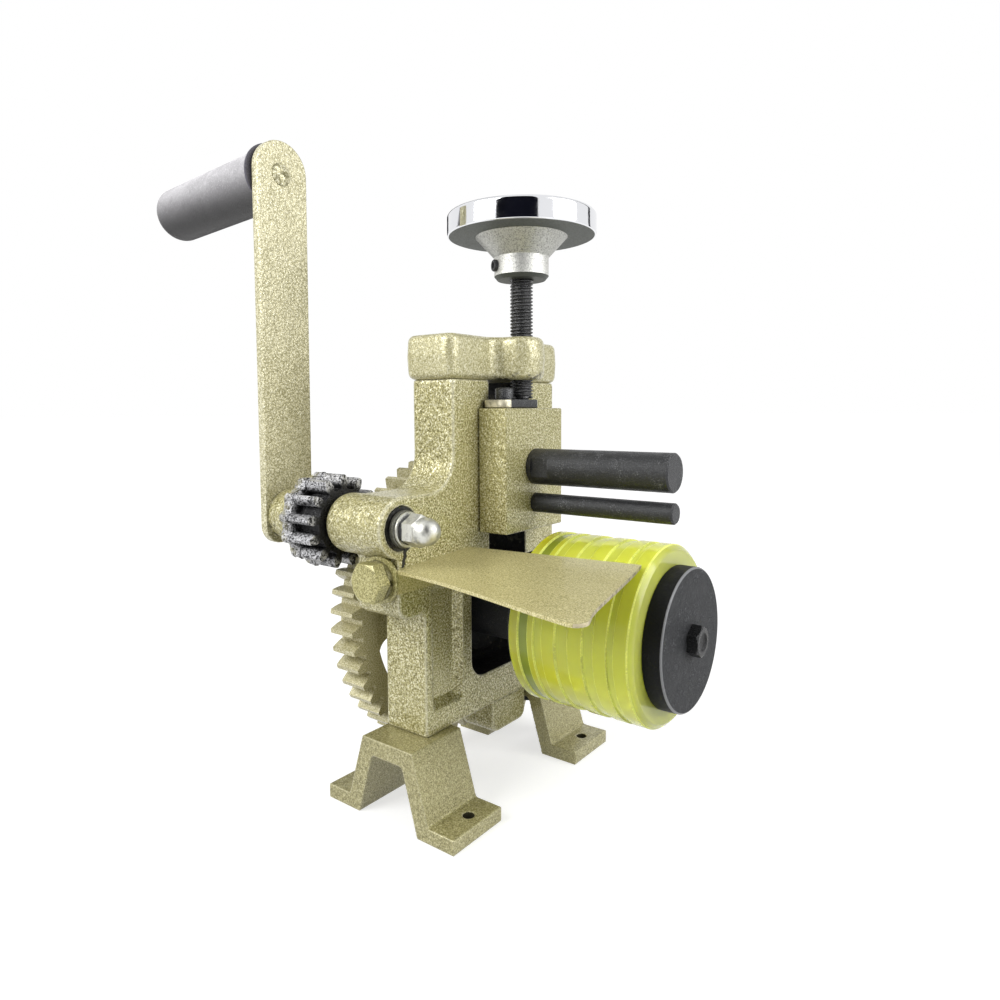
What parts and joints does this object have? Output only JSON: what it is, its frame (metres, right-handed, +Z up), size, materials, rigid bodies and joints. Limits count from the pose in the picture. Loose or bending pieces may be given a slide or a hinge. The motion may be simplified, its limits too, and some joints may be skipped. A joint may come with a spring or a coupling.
{
  "type": "bracelet bending machine",
  "caption": "Hand-cranked bench machine that curves metal strips between a soft geared roller and round mandrels on a screw-lowered sliding block.",
  "frame": {"origin": "centre of the four mounting holes in the feet, on the surface that the feet stand on", "axes": "+Z up, +X along the roller shaft towards the roller's free end, +Y away from the pinion and crank side"},
  "size_m": [0.2868, 0.1844, 0.3284],
  "materials": {
    "hammertone": "hammered gold-olive stoving enamel",
    "bronze": "machined bronze",
    "black_oxide": "black oxide",
    "black_roller": "satin black",
    "polished_steel": "polished rim, turned underside",
    "bright_steel": "turned bright",
    "greased_steel": "dark greased steel",
    "zinc_plate": "bright zinc plate",
    "polyurethane": "glossy translucent polyurethane",
    "grip_plastic": "satin slate grey",
    "grip_ring": "satin lavender grey"
  },
  "bodies": {
    "frame": {"frame_casting": "hammertone", "foot_left": "hammertone", "foot_right": "hammertone", "foot_bolts": "black_oxide", "top_cap": "hammertone", "cap_screws": "black_oxide", "table_plate": "hammertone", "table_bolt": "hammertone", "table_spring_washer": "hammertone", "table_washer": "hammertone", "main_bush": "bronze", "pinion_bush": "bronze"},
    "slide": {"slide_block": "hammertone", "guide_plate": "hammertone", "guide_screws": "black_oxide", "large_mandrel": "black_oxide", "small_mandrel": "black_oxide", "keeper_plate": "black_oxide", "keeper_screw": "black_oxide"},
    "screw": {"pressure_screw": "black_oxide", "handwheel": "polished_steel", "wheel_set_screw": "black_oxide"},
    "roller": {"main_shaft": "bright_steel", "large_gear": "hammertone", "gear_key": "bright_steel", "shaft_washer": "bright_steel", "shaft_nut": "bright_steel", "roller_hub": "black_roller", "roller_key": "bright_steel", "roller_tyre": "polyurethane", "end_cap": "black_roller", "end_cap_bolt": "black_oxide"},
    "crank": {"pinion_shaft": "bright_steel", "pinion": "greased_steel", "pinion_key": "bright_steel", "crank_hub": "hammertone", "crank_arm": "hammertone", "grip_spindle": "bright_steel", "grip_washer": "grip_ring", "nut_spacer": "black_oxide", "nut_washer": "zinc_plate", "nut_spring_washer": "black_oxide", "acorn_nut": "zinc_plate"},
    "grip": {"grip": "grip_plastic"}
  },
  "joints": [
    {"name": "roller_spin", "type": "hinge", "parent": "frame", "child": "roller", "pos_m": [0, 0.01, 0.0895], "axis": [1, 0, 0], "continuous": true},
    {"name": "crank_spin", "type": "hinge", "parent": "frame", "child": "crank", "pos_m": [-0.05, -0.07079, 0.14136], "axis": [1, 0, 0], "continuous": true},
    {"name": "grip_spin", "type": "hinge", "parent": "crank", "child": "grip", "pos_m": [-0.0736, -0.07079, 0.31166], "axis": [-0.9988, 0, -0.048], "continuous": true},
    {"name": "block_slide", "type": "slide", "parent": "frame", "child": "slide", "axis": [0, 0, 1], "range_m": [-0.009, 0.0035]},
    {"name": "screw_spin", "type": "hinge", "parent": "slide", "child": "screw", "pos_m": [0.02065, 0.01, 0.25], "axis": [0, 0, 1], "range_deg": [-1850, 719]}
  ],
  "couplings": [
    {"joint": "crank_spin", "follows": "roller_spin", "ratio": -3.9231},
    {"joint": "block_slide", "follows": "screw_spin", "m_per_rad": 0.00027852}
  ]
}
